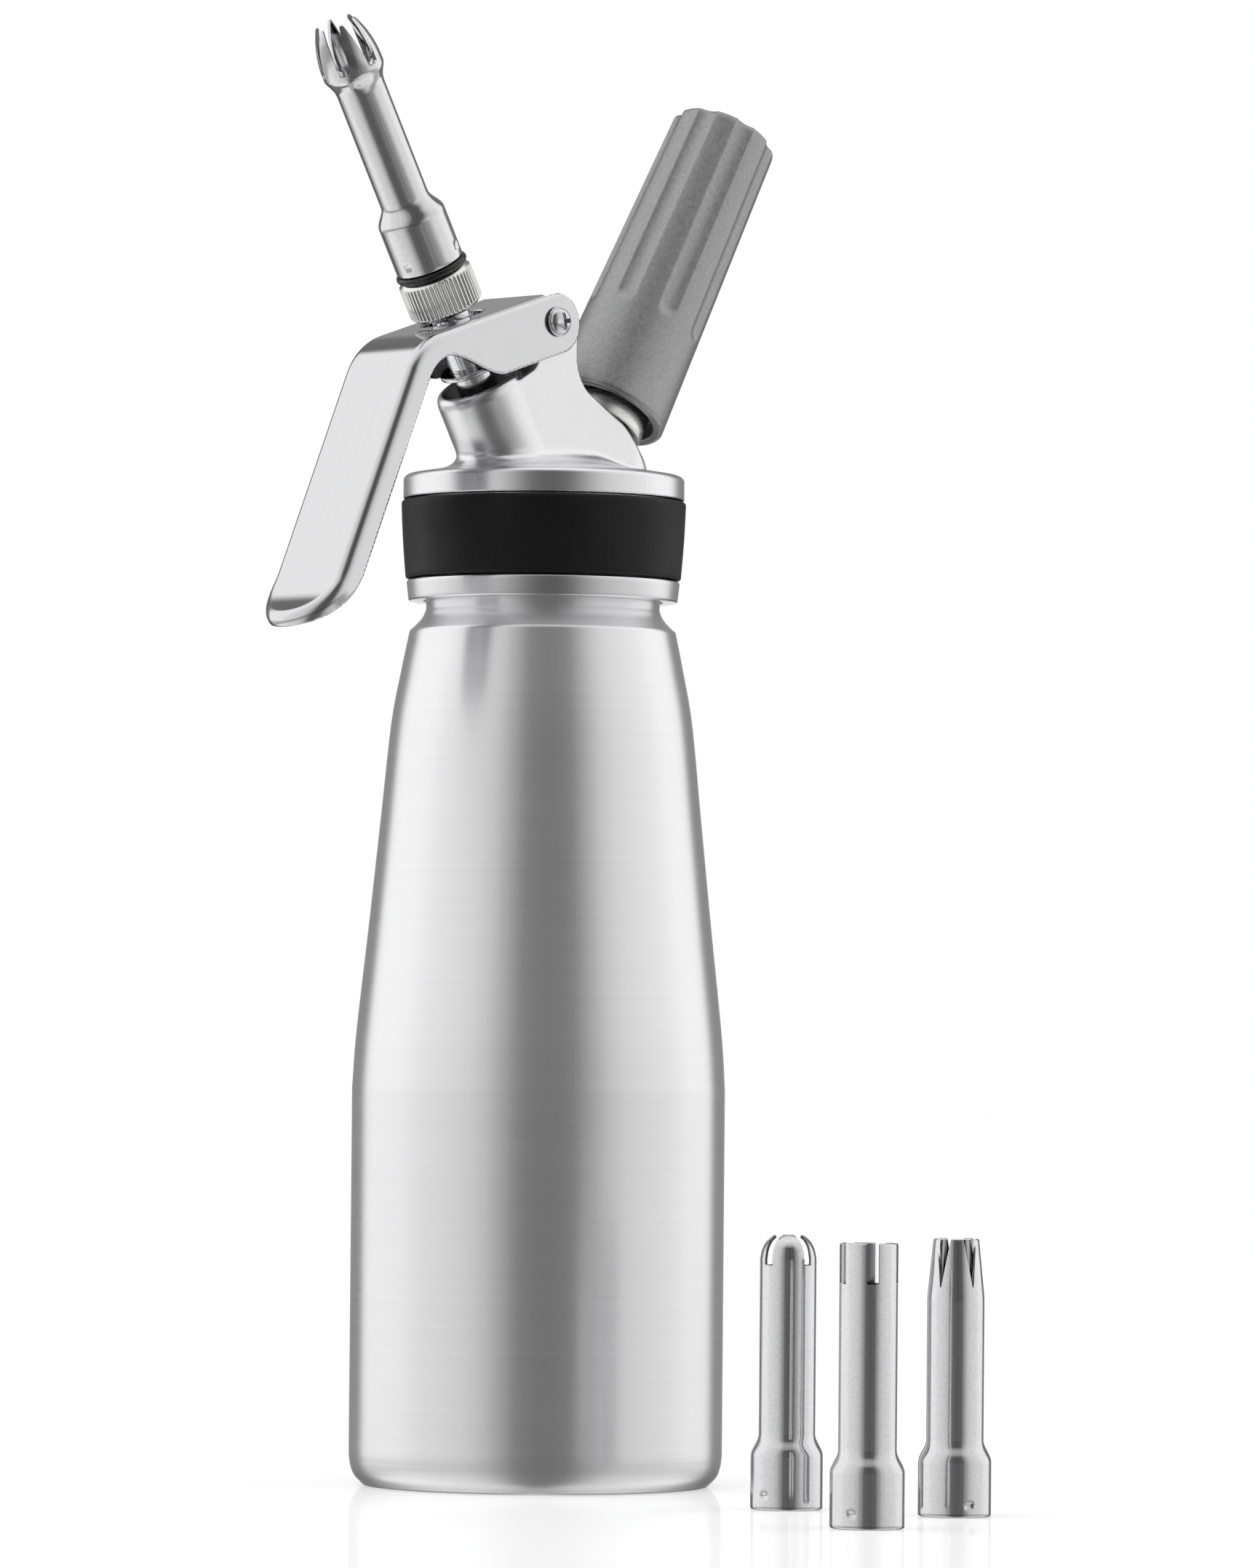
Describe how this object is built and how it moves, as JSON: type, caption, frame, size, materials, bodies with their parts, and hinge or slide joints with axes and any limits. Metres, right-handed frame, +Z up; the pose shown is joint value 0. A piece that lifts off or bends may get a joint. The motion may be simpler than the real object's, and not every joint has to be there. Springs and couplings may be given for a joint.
{
  "type": "whipped cream dispenser",
  "caption": "Aluminium pressure bottle with screwed head, lever-operated dispensing valve, fitted decorating tip, screwed gas charger holder and spare tips standing beside it.",
  "frame": {"origin": "centre of the bottle's flat base face", "axes": "+Z up along the bottle's axis; +X to the side of the charger holder, -X to the side of the lever and the fitted tip; the spare tips stand at -Y"},
  "size_m": [0.1411, 0.1944, 0.3108],
  "materials": {
    "bottle_aluminium": "brushed round the axis, satin",
    "head_aluminium": "bead blasted, satin, light",
    "polished_steel": "polished, mirror-like",
    "ribbed_nickel": "nickel plated, fine straight ribs",
    "spring_steel": "drawn wire",
    "charger_steel": "plated deep-drawn steel",
    "holder_grey": "grainy dark grey, matt",
    "black_grip": "matt black",
    "black_seal": "black rubber",
    "clear_silicone": "translucent silicone"
  },
  "bodies": {
    "bottle": {"bottle": "bottle_aluminium"},
    "head_seal": {"head_gasket": "clear_silicone"},
    "head": {"head_body": "head_aluminium", "grip_band": "black_grip", "charger_port": "polished_steel", "port_gasket": "black_seal", "piercing_pin": "polished_steel", "check_valve": "black_seal", "gland_seal": "black_seal", "valve_spring": "spring_steel", "pivot_screw": "polished_steel", "pivot_nut": "polished_steel"},
    "valve": {"valve_stem": "polished_steel", "valve_gasket": "black_seal", "spring_retainer": "polished_steel", "stem_washer": "polished_steel", "thrust_collar": "polished_steel"},
    "adapter_ring": {"adapter_o_ring": "black_seal"},
    "adapter": {"knurled_adapter": "ribbed_nickel"},
    "tip": {"tulip_tip": "polished_steel"},
    "lever": {"lever": "polished_steel"},
    "charger": {"charger": "charger_steel"},
    "holder": {"charger_holder": "holder_grey"},
    "round_tip": {"spare_tip_round": "polished_steel"},
    "straight_tip": {"spare_tip_straight": "polished_steel"},
    "star_tip": {"spare_tip_star": "polished_steel"}
  },
  "joints": [
    {"name": "head_lift", "type": "slide", "parent": "bottle", "child": "head_seal", "axis": [0, 0, 1], "range_m": [0, 0.00901]},
    {"name": "head_unscrew", "type": "hinge", "parent": "head_seal", "child": "head", "pos_m": [0, 0, 0.2], "axis": [0, 0, 1], "range_deg": [0, 720]},
    {"name": "lever_squeeze", "type": "hinge", "parent": "head", "child": "lever", "pos_m": [-0.0071, 0, 0.2488], "axis": [0, -1, 0], "range_deg": [0, 9], "stiffness_Nm_per_rad": 2, "springref_deg": -2.86},
    {"name": "valve_press", "type": "slide", "parent": "head", "child": "valve", "axis": [0.5, 0, -0.866], "range_m": [0, 0.0024], "deforming": ["valve_spring"]},
    {"name": "adapter_lift", "type": "slide", "parent": "valve", "child": "adapter_ring", "axis": [-0.5, 0, 0.866], "range_m": [0, 0.00401]},
    {"name": "adapter_turn", "type": "hinge", "parent": "adapter_ring", "child": "adapter", "pos_m": [0, 0, 0.2], "axis": [-0.5, 0, 0.866], "range_deg": [0, 1440]},
    {"name": "tip_off", "type": "slide", "parent": "adapter", "child": "tip", "axis": [-0.5, 0, 0.866], "range_m": [0, 0.012]},
    {"name": "charger_slide", "type": "slide", "parent": "head", "child": "charger", "axis": [0.5, 0, 0.866], "range_m": [0, 0.00801]},
    {"name": "holder_turn", "type": "hinge", "parent": "charger", "child": "holder", "pos_m": [0, 0, 0.2], "axis": [0.5, 0, 0.866], "range_deg": [0, 1800]},
    {"name": "round_tip_lift", "type": "slide", "parent": "bottle", "child": "round_tip", "axis": [0, 0, 1], "range_m": [0, 0.08]},
    {"name": "straight_tip_lift", "type": "slide", "parent": "bottle", "child": "straight_tip", "axis": [0, 0, 1], "range_m": [0, 0.08]},
    {"name": "star_tip_lift", "type": "slide", "parent": "bottle", "child": "star_tip", "axis": [0, 0, 1], "range_m": [0, 0.08]}
  ],
  "couplings": [
    {"joint": "head_lift", "follows": "head_unscrew", "m_per_rad": 0.0007162},
    {"joint": "valve_press", "follows": "lever_squeeze", "m_per_rad": 0.0148},
    {"joint": "adapter_lift", "follows": "adapter_turn", "m_per_rad": 0.00015915},
    {"joint": "charger_slide", "follows": "holder_turn", "m_per_rad": 0.00025465}
  ]
}
